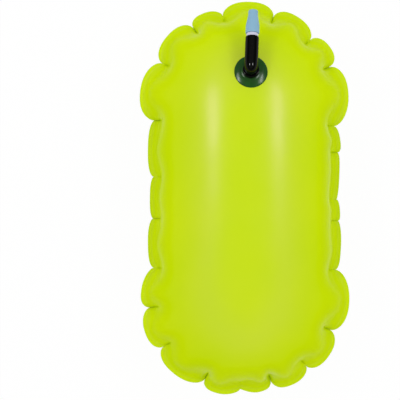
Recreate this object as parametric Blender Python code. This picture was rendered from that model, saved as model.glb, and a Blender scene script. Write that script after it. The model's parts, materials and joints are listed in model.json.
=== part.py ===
"""Open water swim buoy: an air bag welded from two film panels, an elbowed oral valve and a tow ring.

The bag lies on its back panel. +Z runs out of the front panel, +Y towards the valve end and +X to the
right as seen from the front. The origin is under the middle of the bag, where it rests.
"""

import math

import bmesh
import bpy
from mathutils import Matrix, Vector
from mathutils.bvhtree import BVHTree

MM = 0.001

# Air bag: distances from the spine, the straight line that the round ends are centred on
SPINE_LENGTH = 251 * MM
NOTCH_RADIUS = 123 * MM
DOME_RADIUS = 117 * MM
HALF_DEPTH = 86 * MM
LENGTHWISE_ROUNDNESS = 2.7
REST_PATCH_RADIUS = 17 * MM
REST_PATCH_LENGTH = 60 * MM
FILM = 0.5 * MM
WELD_WIDTH = 5.5 * MM
WELD_GAP = 0.3 * MM
LOBE_REACH = 15.5 * MM
SEAM_WAVE = 2.6 * MM
WALL_SCALLOP = 2.2 * MM

# Puckers go clockwise from the middle of the valve end, as shares of the way round
PUCKER_SHARES = (
    0.03, 0.0755, 0.1105, 0.1735, 0.201, 0.25, 0.2725, 0.3235, 0.3875, 0.4325, 0.4725,
    0.505, 0.5425, 0.596, 0.6375, 0.6785, 0.73, 0.7735, 0.8325, 0.8935, 0.943, 0.9765,
)
# How far each pucker and the lobe after it stand out, as shares of the lobe reach
PUCKER_REACH_SHARES = (
    0.1, 0.05, 0.1, -0.2, 0.1, 0, 0.15, -0.1, 0.1, 0.25, -0.1,
    0.35, 0.3, 0.5, 0.4, 0, 0.05, 0, -0.05, 0.1, 0.15, 0.05,
)
LOBE_SHARES = (
    0.84, 0.85, 1.06, 0.3, 0.13, 0.15, 0.3, 1.06, 0.88, 0.84, 0.55,
    0.65, 0.88, 0.85, 0.77, 0.4, 0.23, 0.45, 1.15, 0.9, 0.65, 0.9,
)
# How far each lobe leans back towards its first pucker
LEAN_SHARES = (
    0.4, -0.1, 0.1, -0.2, 0.6, 0, -0.4, 0, 0, 0, 0.8,
    -0.6, -0.2, 0.2, 0.45, 0.1, 0, 0.1, 0.2, 0, 0.3, -0.1,
)
LOBE_POINT_SHARES = (0, 0.1, 0.35, 0.65, 0.9)
LOBE_ROUNDNESS = 2.6
LOBE_STEEPNESS = 0.6
# How fast the lobes, and the creases between them, fade up the wall
LOBE_FADE = 4
CREASE_FADE = 12
WALL_ANGLES = tuple(math.radians(angle) for angle in (6, 15, 30, 44, 57, 69))

# Inflation valve: heights are above the film, along the valve's own axis
VALVE_X = 5.3 * MM
VALVE_PAST_SPINE = 38.6 * MM
VALVE_LEAN = math.radians(-3.4)
SEAT_GAP = 0.3 * MM
AIR_HOLE_RADIUS = 6 * MM
FLANGE_RADIUS = 21.5 * MM
FLANGE_RIM = 1.1 * MM
FLANGE_CROWN = 2.1 * MM
FLANGE_ROUNDING = 0.6 * MM
PAD_HEIGHT = 2.6 * MM
SPIGOT_RADIUS = 6.4 * MM
SPIGOT_BORE = 4.2 * MM
SPIGOT_TOP = 8.6 * MM
COLLAR_RADIUS = 10.6 * MM
COLLAR_LIP = 3.6 * MM
COLLAR_ROUNDING = 0.8 * MM
FOOT_RADIUS = 9.4 * MM
FOOT_HEIGHT = 1.8 * MM
RUNNING_GAP = 0.3 * MM
NECK_RING_WIRE = 0.8 * MM

# Elbow and its straight tube: distances along the tube are from the valve's own axis
TUBE_HEIGHT = 23 * MM
TUBE_RADIUS = 8.6 * MM
TUBE_BORE = 5.2 * MM
TUBE_LENGTH = 38.6 * MM
TUBE_END_ROUNDING = 1.4 * MM
TUBE_HEADING = math.radians(-3.1)
BEND_RADIUS = 9.2 * MM
CORNER_ROUNDING = 8.9 * MM
BEND_STEPS = 6
POCKET_RADIUS = 6.6 * MM
POCKET_DEPTH = 19.6 * MM

# Check valve inside the tube's pocket
RETAINER_THICKNESS = 1.8 * MM
RETAINER_HOLE = 1.5 * MM
RETAINER_HOLES = 4
STEM_RADIUS = 1.3 * MM
STEM_OVERHANG = 0.6 * MM
POPPET_RADIUS = 4.9 * MM
POPPET_THICKNESS = 1.4 * MM
HUB_RADIUS = 1.7 * MM
WASHER_RADIUS = 4.6 * MM
WASHER_THICKNESS = 0.9 * MM
CHECK_SEAT_THICKNESS = 1.8 * MM
CHECK_SEAT_BORE = 3.4 * MM
SPRING_WIRE = 0.3 * MM
SPRING_RADIUS = 3.1 * MM
SPRING_TURNS = 4
SPRING_TURN_POINTS = 10

# White core that closes the tube and carries the mouthpiece
CORE_COLLAR_RADIUS = 7.4 * MM
CORE_COLLAR_HEIGHT = 4 * MM
CORE_STEM_RADIUS = 4.8 * MM
CORE_STEM_LENGTH = 17 * MM
CORE_BORE = 2.8 * MM
CORE_END_WALL = 1.2 * MM
CORE_PORT_RADIUS = 1.5 * MM
PLUG_RADIUS = 2.8 * MM
PLUG_HEIGHT = 3.2 * MM
PLUG_RING_WIRE = 0.6 * MM

# Mouthpiece, which unscrews off its seat by half a turn
MOUTHPIECE_LENGTH = 31 * MM
MOUTHPIECE_RADIUS = 8.6 * MM
MOUTHPIECE_GRIP_LENGTH = 10.6 * MM
MOUTHPIECE_TAPER_LENGTH = 13.2 * MM
MOUTHPIECE_TIP_RADIUS = 6.1 * MM
MOUTHPIECE_BORE = 3.2 * MM
MOUTHPIECE_ROUNDING = 0.9 * MM
MOUTHPIECE_LIP = 2.4 * MM
CHAMBER_RADIUS = 5.9 * MM
CHAMBER_LENGTH = 9 * MM
SEAL_WIDTH = 1.5 * MM
SEAL_HEIGHT = 1.4 * MM

# Tow point on the back panel, past the end of the spine away from the valve
TOW_PAST_SPINE = 79.5 * MM
TOW_PAD_RADIUS = 22 * MM
TOW_PAD_FLAT_RADIUS = 15 * MM
TOW_PAD_THICKNESS = 1.2 * MM
TOW_PAD_RIM = 0.8 * MM
WEBBING_WIDTH = 20 * MM
WEBBING_THICKNESS = 1.4 * MM
WEBBING_RUN = 20 * MM
EYE_STEPS = 10
EYE_GAP = 0.5 * MM
TOW_RING_HALF_THICKNESS = 1.8 * MM
TOW_RING_CHAMFER = 0.9 * MM
TOW_RING_SIDE_GAP = 1.5 * MM
TOW_RING_OPENING = 14 * MM
TOW_RING_BAR_CORNER = 3 * MM
TOW_RING_BOW_CORNER = 6 * MM
TOW_RING_CORNER_STEPS = 5

# Mesh fineness and tolerances
SIDES = 24
INNER_SIDES = 16
RING_WIRE_SIDES = 6
WELDED_SIDES = 36
UNDERSIDE_STEPS = 9
FRAME_REACH = 18 * MM
SHARP_ANGLE = math.radians(35)
MERGE = 0.001 * MM
OVERRUN = 2 * MM
TAU = 2 * math.pi


def make_material(name, colour, roughness, metallic=0):
    """A plain Principled material."""
    material = bpy.data.materials.new(name)
    material.use_nodes = True
    shader = material.node_tree.nodes["Principled BSDF"]
    shader.inputs["Base Color"].default_value = (*colour, 1)
    shader.inputs["Roughness"].default_value = roughness
    shader.inputs["Metallic"].default_value = metallic
    material.diffuse_color = (*colour, 1)
    return material


def add_object(name, bm, material, frame=None):
    """Makes an object of the mesh and parents it to the frame, an empty that carries its place."""
    bmesh.ops.recalc_face_normals(bm, faces=bm.faces)
    mesh = bpy.data.meshes.new(name)
    bm.to_mesh(mesh)
    bm.free()
    mesh.shade_smooth()
    mesh.set_sharp_from_angle(angle=SHARP_ANGLE)
    mesh.materials.append(material)
    made = bpy.data.objects.new(name, mesh)
    made.parent = frame
    bpy.context.scene.collection.objects.link(made)
    return made


def add_frame(name, matrix, parent=None):
    """An empty that holds a place and a direction, such as a joint's."""
    empty = bpy.data.objects.new(name, None)
    empty.parent = parent
    empty.matrix_basis = matrix
    bpy.context.scene.collection.objects.link(empty)
    return empty


def lathe(outline, sides):
    """Turns an outline of (radius, height) points about Z. One that leaves the axis clear is closed up."""
    bm = bmesh.new()
    points = [bm.verts.new((radius, 0, height)) for radius, height in outline]
    following = points[1:]
    if min(radius for radius, height in outline) > 0:
        following = following + points[:1]
    edges = [bm.edges.new(pair) for pair in zip(points, following)]
    bmesh.ops.spin(
        bm, geom=points + edges, cent=(0, 0, 0), axis=(0, 0, 1), angle=TAU, steps=sides, use_merge=True
    )
    bmesh.ops.remove_doubles(bm, verts=bm.verts, dist=MERGE)
    return bm


def join_rings(bm, rings, closed):
    """Faces between each ring of vertices and the next, and from the last to the first if closed."""
    following = rings[1:] + rings[:1] if closed else rings[1:]
    for ring, after in zip(rings, following):
        for index in range(len(ring)):
            beside = (index + 1) % len(ring)
            bm.faces.new((ring[index], ring[beside], after[beside], after[index]))


def ring_outline(radius, wire, height):
    """The round section of an O-ring, as an outline to turn."""
    steps = (TAU * step / RING_WIRE_SIDES for step in range(RING_WIRE_SIDES))
    return [(radius + wire * math.cos(angle), height + wire * math.sin(angle)) for angle in steps]


def cut(target, cutter):
    """Takes the cutter out of the target with a Boolean that stays on the object."""
    cutter.hide_render = True
    cutter.display_type = "WIRE"
    boolean = target.modifiers.new(cutter.name, "BOOLEAN")
    boolean.operation = "DIFFERENCE"
    boolean.solver = "EXACT"
    boolean.object = cutter


def outline_place(share):
    """The point of the spine that a share of the way round belongs to, and the direction out from it."""
    end_arc = NOTCH_RADIUS * math.pi
    half = SPINE_LENGTH + end_arc
    halves, along = divmod(share % 1 * 2 * half + end_arc / 2, half)
    flip = -1 if halves % 2 else 1
    if along < end_arc:
        angle = math.pi - along / NOTCH_RADIUS
        return Vector((0, flip * SPINE_LENGTH / 2)), flip * Vector((math.cos(angle), math.sin(angle)))
    return Vector((0, flip * (SPINE_LENGTH / 2 - along + end_arc))), Vector((flip, 0))


def outline_points():
    """Each column of the panels: its spine point, direction out, reach, soft reach, fullness and wave."""
    columns = []
    for index, start in enumerate(PUCKER_SHARES):
        after = (index + 1) % len(PUCKER_SHARES)
        width = (PUCKER_SHARES[after] - start) % 1
        base = PUCKER_REACH_SHARES[index]
        climb = PUCKER_REACH_SHARES[after] - base
        lift = SEAM_WAVE if index % 2 else -SEAM_WAVE
        for share in LOBE_POINT_SHARES:
            leant = share + LEAN_SHARES[index] * share * (1 - share)
            fullness = (1 - abs(2 * leant - 1) ** LOBE_ROUNDNESS) ** LOBE_STEEPNESS
            wave = (1 - fullness) * math.copysign(lift, lift * (1 - 2 * leant))
            reach = LOBE_REACH * (base + climb * share + LOBE_SHARES[index] * fullness)
            roundness = math.sin(math.pi * leant) ** 2
            soft = LOBE_REACH * (base + climb * share + LOBE_SHARES[index] * roundness)
            spot, out = outline_place(start + share * width)
            columns.append((spot, out, reach, soft, fullness, wave))
    return columns


def panel_profile(reach, soft, fullness, wave):
    """One column of a panel from the weld's edge to the crown, as (distance out, height over the seam)."""
    edge = NOTCH_RADIUS + reach
    profile = [(edge, wave), (edge - WELD_WIDTH, wave)]
    for angle in WALL_ANGLES:
        sharp = math.cos(angle) ** CREASE_FADE
        lobe = (reach * sharp + soft * (1 - sharp)) * math.cos(angle) ** LOBE_FADE
        dent = WALL_SCALLOP * (1 - fullness) * math.cos(angle) ** LOBE_FADE
        profile.append((DOME_RADIUS * math.cos(angle) + lobe - dent, HALF_DEPTH * math.sin(angle)))
    profile.append((REST_PATCH_RADIUS, HALF_DEPTH))
    return profile


def crown_share(along):
    """How high the bag stands at a place along it, as a share of what its section alone would give."""
    flat = REST_PATCH_LENGTH / 2
    end = SPINE_LENGTH / 2 + DOME_RADIUS
    if abs(along) >= end:
        return 1
    fall = (max(abs(along) - flat, 0) / (end - flat)) ** LENGTHWISE_ROUNDNESS
    swell = (1 - fall) ** (1 / LENGTHWISE_ROUNDNESS)
    past = max(abs(along) - SPINE_LENGTH / 2, 0) / DOME_RADIUS
    return min(swell / math.sqrt(1 - past**2), 1)


def make_panel(name, side, columns, centre, material):
    """One film half of the bag: a sheet from the weld's edge up to its crown, thickened outwards."""
    seam = HALF_DEPTH + WELD_GAP / 2 + FILM
    bm = bmesh.new()
    rings = [[] for ring in panel_profile(0, 0, 0, 0)]
    for spot, out, reach, soft, fullness, wave in columns:
        for ring, (distance, height) in zip(rings, panel_profile(reach, soft, fullness, side * wave)):
            place = spot + out * distance
            rise = WELD_GAP / 2 + height * crown_share(place.y)
            ring.append(bm.verts.new((*(place - centre), seam + side * rise)))
    join_rings(bm, rings, False)
    bmesh.ops.triangulate(bm, faces=[bm.faces.new(rings[-1])], ngon_method="BEAUTY")
    panel = add_object(name, bm, material)
    if (panel.data.polygons[-1].normal.z > 0) != (side > 0):
        panel.data.flip_normals()
    skin = panel.modifiers.new("film", "SOLIDIFY")
    skin.thickness = FILM
    skin.offset = 1
    return panel


def surface_frame(name, panel, centre, x, past_spine, side):
    """A frame on a panel's outer face, past the spine's end on one side: Z out of the face and Y away."""
    tree = BVHTree.FromObject(panel, bpy.context.evaluated_depsgraph_get())
    heading = math.copysign(1, past_spine)
    spot = Vector((x, heading * SPINE_LENGTH / 2 + past_spine)) - centre
    hits = []
    for step in ((0, 0), (1, 0), (-1, 0), (0, 1), (0, -1)):
        above = Vector((*(spot + FRAME_REACH * Vector(step)), side * NOTCH_RADIUS * 3))
        hits.append(tree.ray_cast(above, Vector((0, 0, -side)))[0])
    far, right, left, ahead, behind = hits
    normal = side * (right - left).cross(ahead - behind).normalized()
    forward = (Vector((0, heading, 0)) - normal * normal.y * heading).normalized()
    across = forward.cross(normal)
    matrix = Matrix((across, forward, normal)).transposed().to_4x4()
    matrix.translation = far
    return add_frame(name, matrix), tree


def drape(bm, verts, frame, tree, gap):
    """Raises each vertex, given in the frame, by the height of the film under it and a gap."""
    matrix = frame.matrix_basis
    inward = -matrix.to_3x3().col[2]
    for vert in verts:
        start = matrix @ Vector((vert.co.x, vert.co.y, DOME_RADIUS))
        hit = tree.ray_cast(start, inward)[0]
        vert.co.z += DOME_RADIUS - (hit - start).length + gap


def underside(inner, outer):
    """The draped face of a disc, as outline points from its inner to its outer radius."""
    steps = range(UNDERSIDE_STEPS + 1)
    return [(inner + (outer - inner) * step / UNDERSIDE_STEPS, 0) for step in steps]


def make_flange(frame, tree, material):
    """The welded valve flange: a disc that follows the film, with the spigot that the elbow turns on."""
    pad_radius = COLLAR_RADIUS + FLANGE_ROUNDING
    outline = underside(SPIGOT_BORE, FLANGE_RADIUS - FLANGE_ROUNDING) + [
        (FLANGE_RADIUS, FLANGE_RIM / 2),
        (FLANGE_RADIUS - FLANGE_ROUNDING, FLANGE_RIM),
        ((FLANGE_RADIUS + pad_radius) / 2, (FLANGE_RIM + FLANGE_CROWN) / 2),
        (pad_radius, FLANGE_CROWN),
        (COLLAR_RADIUS, PAD_HEIGHT),
        (SPIGOT_RADIUS, PAD_HEIGHT),
        (SPIGOT_RADIUS, SPIGOT_TOP),
        (SPIGOT_BORE, SPIGOT_TOP),
    ]
    bm = lathe(outline, WELDED_SIDES)
    drape(bm, [vert for vert in bm.verts if vert.co.z < PAD_HEIGHT - MERGE], frame, tree, SEAT_GAP)
    return add_object("valve_flange", bm, material, frame)


def make_collar(frame, material):
    """The retaining collar that holds the elbow's foot down on the flange."""
    base = PAD_HEIGHT + SEAT_GAP
    lip = base + FOOT_HEIGHT + 2 * RUNNING_GAP
    top = lip + COLLAR_LIP
    outline = [
        (FOOT_RADIUS + RUNNING_GAP, base),
        (FOOT_RADIUS + RUNNING_GAP, lip),
        (TUBE_RADIUS + RUNNING_GAP, lip),
        (TUBE_RADIUS + RUNNING_GAP, top),
        (COLLAR_RADIUS - COLLAR_ROUNDING, top),
        (COLLAR_RADIUS, top - COLLAR_ROUNDING),
        (COLLAR_RADIUS, base),
    ]
    add_object("valve_collar", lathe(outline, SIDES), material, frame)


def elbow_station(distance):
    """The middle and direction of the elbow's air way at a distance from the film along it."""
    leg = TUBE_HEIGHT - BEND_RADIUS
    if distance <= leg:
        return Vector((0, 0, distance)), Vector((0, 0, 1))
    angle = (distance - leg) / BEND_RADIUS
    if angle < math.pi / 2:
        middle = Vector((0, BEND_RADIUS * (1 - math.cos(angle)), leg + BEND_RADIUS * math.sin(angle)))
        return middle, Vector((0, math.sin(angle), math.cos(angle)))
    beyond = distance - leg - BEND_RADIUS * math.pi / 2
    return Vector((0, BEND_RADIUS + beyond, TUBE_HEIGHT)), Vector((0, 1, 0))


def corner_reach(distance):
    """How far the bend's outer side stands from its middle line: a round corner, fuller than the bend."""
    angle = (distance - TUBE_HEIGHT + BEND_RADIUS) / BEND_RADIUS
    if not 0 < angle < math.pi / 2:
        return TUBE_RADIUS
    side = BEND_RADIUS + TUBE_RADIUS
    inset = side - CORNER_ROUNDING
    flat = min(side / math.cos(angle), side / math.sin(angle))
    along = inset * (math.cos(angle) + math.sin(angle))
    beside = inset * (math.cos(angle) - math.sin(angle))
    if abs(beside) >= CORNER_ROUNDING:
        return flat - BEND_RADIUS
    return min(flat, along + math.sqrt(CORNER_ROUNDING**2 - beside**2)) - BEND_RADIUS


def make_elbow(frame, material):
    """The elbow and its straight tube, hollow right through, with the pocket for the check valve."""
    leg = TUBE_HEIGHT - BEND_RADIUS
    bend = [leg + BEND_RADIUS * math.pi / 2 * step / BEND_STEPS for step in range(BEND_STEPS + 1)]
    end = bend[-1] + TUBE_LENGTH - BEND_RADIUS
    foot = PAD_HEIGHT + SEAT_GAP + RUNNING_GAP
    socket_top = SPIGOT_TOP + 2 * SEAT_GAP + 2 * NECK_RING_WIRE
    socket = SPIGOT_RADIUS + RUNNING_GAP
    round_end = TUBE_RADIUS - TUBE_END_ROUNDING
    slant = TUBE_END_ROUNDING * math.sqrt(1 / 2)
    stations = [(foot, FOOT_RADIUS), (foot + FOOT_HEIGHT, FOOT_RADIUS), (foot + FOOT_HEIGHT, TUBE_RADIUS)]
    stations += [(distance, TUBE_RADIUS) for distance in bend]
    stations += [
        (end - TUBE_END_ROUNDING, TUBE_RADIUS),
        (end - TUBE_END_ROUNDING + slant, round_end + slant),
        (end, round_end),
        (end, POCKET_RADIUS),
        (end - POCKET_DEPTH, POCKET_RADIUS),
        (end - POCKET_DEPTH, TUBE_BORE),
    ]
    stations += [(distance, TUBE_BORE) for distance in reversed(bend)]
    stations += [(socket_top, TUBE_BORE), (socket_top, socket), (foot, socket)]
    bm = bmesh.new()
    rings = []
    for distance, radius in stations:
        middle, direction = elbow_station(distance)
        up = Vector((1, 0, 0)).cross(direction)
        ring = []
        for side in range(SIDES):
            angle = TAU * side / SIDES
            rise = radius * math.sin(angle)
            if radius == TUBE_RADIUS and rise > 0:
                rise = corner_reach(distance) * math.sin(angle)
            ring.append(bm.verts.new(middle + Vector((radius * math.cos(angle), 0, 0)) + up * rise))
        rings.append(ring)
    join_rings(bm, rings, True)
    return add_object("inflation_elbow", bm, material, frame)


def make_neck_ring(frame, material):
    """The O-ring between the top of the spigot and the elbow's shoulder."""
    radius = (SPIGOT_BORE + SPIGOT_RADIUS) / 2
    outline = ring_outline(radius, NECK_RING_WIRE, SPIGOT_TOP + SEAT_GAP + NECK_RING_WIRE)
    add_object("neck_o_ring", lathe(outline, INNER_SIDES), material, frame)


def make_retainer(base, frame, material):
    """The drilled disc on the pocket's shoulder that guides the poppet's stem and carries its spring."""
    radius = POCKET_RADIUS - SEAT_GAP
    top = base + RETAINER_THICKNESS
    guide = STEM_RADIUS + RUNNING_GAP
    outline = [(guide, base), (radius, base), (radius, top), (guide, top)]
    retainer = add_object("check_retainer", lathe(outline, INNER_SIDES), material, frame)
    circle = (guide + TUBE_BORE) / 2
    drills = bmesh.new()
    for hole in range(RETAINER_HOLES):
        angle = TAU * hole / RETAINER_HOLES
        place = Matrix.Translation((circle * math.cos(angle), circle * math.sin(angle), base))
        drill_hole(drills, place, RETAINER_HOLE, RETAINER_THICKNESS)
    cut(retainer, add_object("retainer_drills", drills, material, frame))
    return top


def drill_hole(bm, place, radius, reach):
    """Adds a round cutter to a mesh of cutters. It runs past its reach on both sides of its place."""
    bmesh.ops.create_cone(
        bm, cap_ends=True, segments=INNER_SIDES // 2, radius1=radius, radius2=radius,
        depth=2 * (reach + OVERRUN), matrix=place,
    )


def make_spring(low, high, frame, material):
    """The poppet's coil spring, one unbroken wire."""
    curve = bpy.data.curves.new("poppet_spring", "CURVE")
    curve.dimensions = "3D"
    curve.bevel_depth = SPRING_WIRE
    curve.bevel_resolution = 1
    curve.use_fill_caps = True
    spline = curve.splines.new("POLY")
    count = SPRING_TURNS * SPRING_TURN_POINTS + 1
    spline.points.add(count - 1)
    rise = high - low - 2 * (SPRING_WIRE + SEAT_GAP)
    for index in range(count):
        angle = TAU * index / SPRING_TURN_POINTS
        height = low + SEAT_GAP + SPRING_WIRE + rise * index / (count - 1)
        spline.points[index].co = (
            SPRING_RADIUS * math.cos(angle), SPRING_RADIUS * math.sin(angle), height, 1,
        )
    curve.materials.append(material)
    spring = bpy.data.objects.new("poppet_spring", curve)
    spring.parent = frame
    bpy.context.scene.collection.objects.link(spring)


def make_check_valve(base, top, frame, materials):
    """The retainer, spring, poppet, washer and seat, stacked in the pocket from base to top."""
    carried = make_retainer(base, frame, materials["black"])
    seat_low = top - CHECK_SEAT_THICKNESS
    seat_radius = POCKET_RADIUS - SEAT_GAP
    seat = [
        (CHECK_SEAT_BORE, seat_low), (seat_radius, seat_low), (seat_radius, top), (CHECK_SEAT_BORE, top),
    ]
    add_object("check_seat", lathe(seat, INNER_SIDES), materials["white"], frame)
    washer_top = seat_low - SEAT_GAP
    washer_low = washer_top - WASHER_THICKNESS
    washer_bore = HUB_RADIUS + SEAT_GAP
    washer = [
        (washer_bore, washer_low), (WASHER_RADIUS, washer_low), (WASHER_RADIUS, washer_top),
        (washer_bore, washer_top),
    ]
    add_object("poppet_washer", lathe(washer, INNER_SIDES), materials["rubber"], frame)
    disc_top = washer_low - SEAT_GAP
    disc_low = disc_top - POPPET_THICKNESS
    poppet = [
        (0, washer_top), (HUB_RADIUS, washer_top), (HUB_RADIUS, disc_top), (POPPET_RADIUS, disc_top),
        (POPPET_RADIUS, disc_low), (STEM_RADIUS, disc_low), (STEM_RADIUS, base - STEM_OVERHANG),
        (0, base - STEM_OVERHANG),
    ]
    add_object("check_poppet", lathe(poppet, INNER_SIDES), materials["white"], frame)
    make_spring(carried, disc_low, frame, materials["steel"])


def make_core(tube_end, frame, materials):
    """The white core: a sleeve in the tube, a collar on its end and the stem that the mouthpiece rides on."""
    collar = tube_end + SEAT_GAP
    stem = collar + CORE_COLLAR_HEIGHT
    shoulder = stem + CORE_STEM_LENGTH
    sleeve = POCKET_RADIUS - SEAT_GAP
    sleeve_low = tube_end - sleeve / 2
    outline = [
        (CORE_BORE, sleeve_low), (sleeve, sleeve_low), (sleeve, collar), (CORE_COLLAR_RADIUS, collar),
        (CORE_COLLAR_RADIUS, stem), (CORE_STEM_RADIUS, stem), (CORE_STEM_RADIUS, shoulder),
        (PLUG_RADIUS, shoulder), (PLUG_RADIUS, shoulder + PLUG_HEIGHT), (0, shoulder + PLUG_HEIGHT),
    ]
    inside = shoulder - CORE_END_WALL
    outline = [(0, inside), (CORE_BORE, inside)] + outline
    core = add_object("valve_core", lathe(outline, SIDES), materials["white"], frame)
    drill = bmesh.new()
    place = Matrix.Translation((0, 0, inside - 2 * CORE_PORT_RADIUS)) @ Matrix.Rotation(math.pi / 2, 4, "Y")
    drill_hole(drill, place, CORE_PORT_RADIUS, CORE_STEM_RADIUS)
    cut(core, add_object("core_drill", drill, materials["white"], frame))
    ring_radius = PLUG_RADIUS + SEAT_GAP + PLUG_RING_WIRE
    ring = ring_outline(ring_radius, PLUG_RING_WIRE, shoulder + SEAT_GAP + PLUG_RING_WIRE)
    add_object("plug_o_ring", lathe(ring, INNER_SIDES), materials["rubber"], frame)
    return stem, shoulder, sleeve_low


def make_mouthpiece(core_top, shoulder, frame, materials):
    """The bottle-shaped mouthpiece, and the seal that slides with it on the core's stem."""
    base = core_top + SEAT_GAP
    seat = shoulder + 2 * (SEAT_GAP + PLUG_RING_WIRE)
    bore = CORE_STEM_RADIUS + RUNNING_GAP
    groove_low = base + MOUTHPIECE_LIP
    groove_high = groove_low + SEAL_HEIGHT + 2 * SEAT_GAP
    groove = bore + SEAL_WIDTH + SEAT_GAP
    tip = base + MOUTHPIECE_LENGTH
    grip = base + MOUTHPIECE_GRIP_LENGTH
    taper = grip + MOUTHPIECE_TAPER_LENGTH
    waist = (grip + taper) / 2
    waist_radius = (MOUTHPIECE_RADIUS + MOUTHPIECE_TIP_RADIUS) / 2
    outline = [
        (MOUTHPIECE_RADIUS - MOUTHPIECE_ROUNDING / 2, base),
        (MOUTHPIECE_RADIUS, base + MOUTHPIECE_ROUNDING / 2),
        (MOUTHPIECE_RADIUS, grip),
        (MOUTHPIECE_RADIUS - MOUTHPIECE_ROUNDING / 2, grip + 2 * MOUTHPIECE_ROUNDING),
        (waist_radius, waist),
        (MOUTHPIECE_TIP_RADIUS + MOUTHPIECE_ROUNDING / 2, taper - 2 * MOUTHPIECE_ROUNDING),
        (MOUTHPIECE_TIP_RADIUS, taper),
        (MOUTHPIECE_TIP_RADIUS, tip - MOUTHPIECE_ROUNDING),
        (MOUTHPIECE_TIP_RADIUS - MOUTHPIECE_ROUNDING, tip),
        (MOUTHPIECE_BORE, tip),
        (MOUTHPIECE_BORE, seat),
        (CHAMBER_RADIUS, seat),
        (CHAMBER_RADIUS, seat - CHAMBER_LENGTH),
        (bore, seat - CHAMBER_LENGTH),
        (bore, groove_high),
        (groove, groove_high),
        (groove, groove_low),
        (bore, groove_low),
        (bore, base),
    ]
    add_object("mouthpiece", lathe(outline, SIDES), materials["blue"], frame)
    low = groove_low + SEAT_GAP
    high = low + SEAL_HEIGHT
    seal = [(bore, low), (bore + SEAL_WIDTH, low), (bore + SEAL_WIDTH, high), (bore, high)]
    add_object("mouthpiece_seal", lathe(seal, INNER_SIDES), materials["rubber"], frame)


def make_tow_pad(frame, tree, material):
    """The moulded pad welded to the back panel: its underside follows the film and its middle is flat."""
    flat = TOW_PAD_THICKNESS
    outline = underside(0, TOW_PAD_RADIUS) + [
        (TOW_PAD_RADIUS, TOW_PAD_RIM),
        (TOW_PAD_FLAT_RADIUS, flat),
        (0, flat),
    ]
    bm = lathe(outline, WELDED_SIDES)
    drape(bm, [vert for vert in bm.verts if vert.co.z < flat - MERGE], frame, tree, SEAT_GAP)
    add_object("tow_pad", bm, material, frame)


def webbing_line(eye):
    """The middle line of the folded webbing, as (along, height): out, round the ring's bar and back."""
    low = TOW_PAD_THICKNESS + SEAT_GAP + WEBBING_THICKNESS / 2
    high = low + WEBBING_THICKNESS + SEAT_GAP
    bar_y = WEBBING_RUN / 2
    bar_z = low + eye
    first = -math.pi / 2
    last = math.pi + math.asin((bar_z - high) / eye)
    line = [(-WEBBING_RUN / 2, low)]
    for step in range(EYE_STEPS + 1):
        angle = first + (last - first) * step / EYE_STEPS
        line.append((bar_y + eye * math.cos(angle), bar_z + eye * math.sin(angle)))
    line.append((-WEBBING_RUN / 2, high))
    return line, bar_y, bar_z


def make_tow_loop(frame, material):
    """The folded webbing that ties the ring to the pad, and the place of the ring's bar in its eye."""
    eye = TOW_RING_HALF_THICKNESS + EYE_GAP + WEBBING_THICKNESS / 2
    line, bar_y, bar_z = webbing_line(eye)
    bm = bmesh.new()
    points = [Vector((0, along, height)) for along, height in line]
    near, far = [], []
    for index, point in enumerate(points):
        before = points[max(index - 1, 0)]
        after = points[min(index + 1, len(points) - 1)]
        aside = Vector((1, 0, 0)).cross(after - before).normalized() * WEBBING_THICKNESS / 2
        near.append(point + aside)
        far.append(point - aside)
    rings = []
    for inner, outer in zip(near, far):
        corners = []
        for spot in (inner, outer):
            for across in (-WEBBING_WIDTH / 2, WEBBING_WIDTH / 2):
                corners.append(bm.verts.new(spot + Vector((across, 0, 0))))
        rings.append([corners[0], corners[1], corners[3], corners[2]])
    join_rings(bm, rings, False)
    bm.faces.new(rings[0])
    bm.faces.new(rings[-1])
    add_object("tow_loop", bm, material, frame)
    return bar_y, bar_z


def make_tow_ring(frame, material):
    """The moulded D-ring, flat on its sides. Its bar lies on the frame's X and its bow hangs below it."""
    thick = TOW_RING_HALF_THICKNESS
    flat = thick - TOW_RING_CHAMFER
    section = [
        (thick, flat), (flat, thick), (-flat, thick), (-thick, flat),
        (-thick, -flat), (-flat, -thick), (flat, -thick), (thick, -flat),
    ]
    half = WEBBING_WIDTH / 2 + TOW_RING_SIDE_GAP + thick
    reach = TOW_RING_OPENING + 2 * thick
    bar = TOW_RING_BAR_CORNER
    bow = TOW_RING_BOW_CORNER
    corners = (
        (half - bar, -bar, bar), (half - bow, bow - reach, bow),
        (bow - half, bow - reach, bow), (bar - half, -bar, bar),
    )
    bm = bmesh.new()
    rings = []
    for quarter, (across, height, radius) in enumerate(corners):
        for step in range(TOW_RING_CORNER_STEPS):
            angle = math.pi / 2 * (1 - quarter - step / (TOW_RING_CORNER_STEPS - 1))
            outward = Vector((math.cos(angle), 0, math.sin(angle)))
            middle = Vector((across, 0, height)) + outward * radius
            ring = [middle + outward * out + Vector((0, side, 0)) for out, side in section]
            rings.append([bm.verts.new(spot) for spot in ring])
    join_rings(bm, rings, True)
    add_object("tow_ring", bm, material, frame)


def make_bag(materials):
    """Both panels. The outline's box is centred on the origin."""
    columns = outline_points()
    edge = [column[0] + column[1] * (NOTCH_RADIUS + column[2]) for column in columns]
    centre = Vector((
        (min(point.x for point in edge) + max(point.x for point in edge)) / 2,
        (min(point.y for point in edge) + max(point.y for point in edge)) / 2,
    ))
    front = make_panel("front_panel", 1, columns, centre, materials["yellow"])
    back = make_panel("rear_panel", -1, columns, centre, materials["yellow"])
    return front, back, centre


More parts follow.
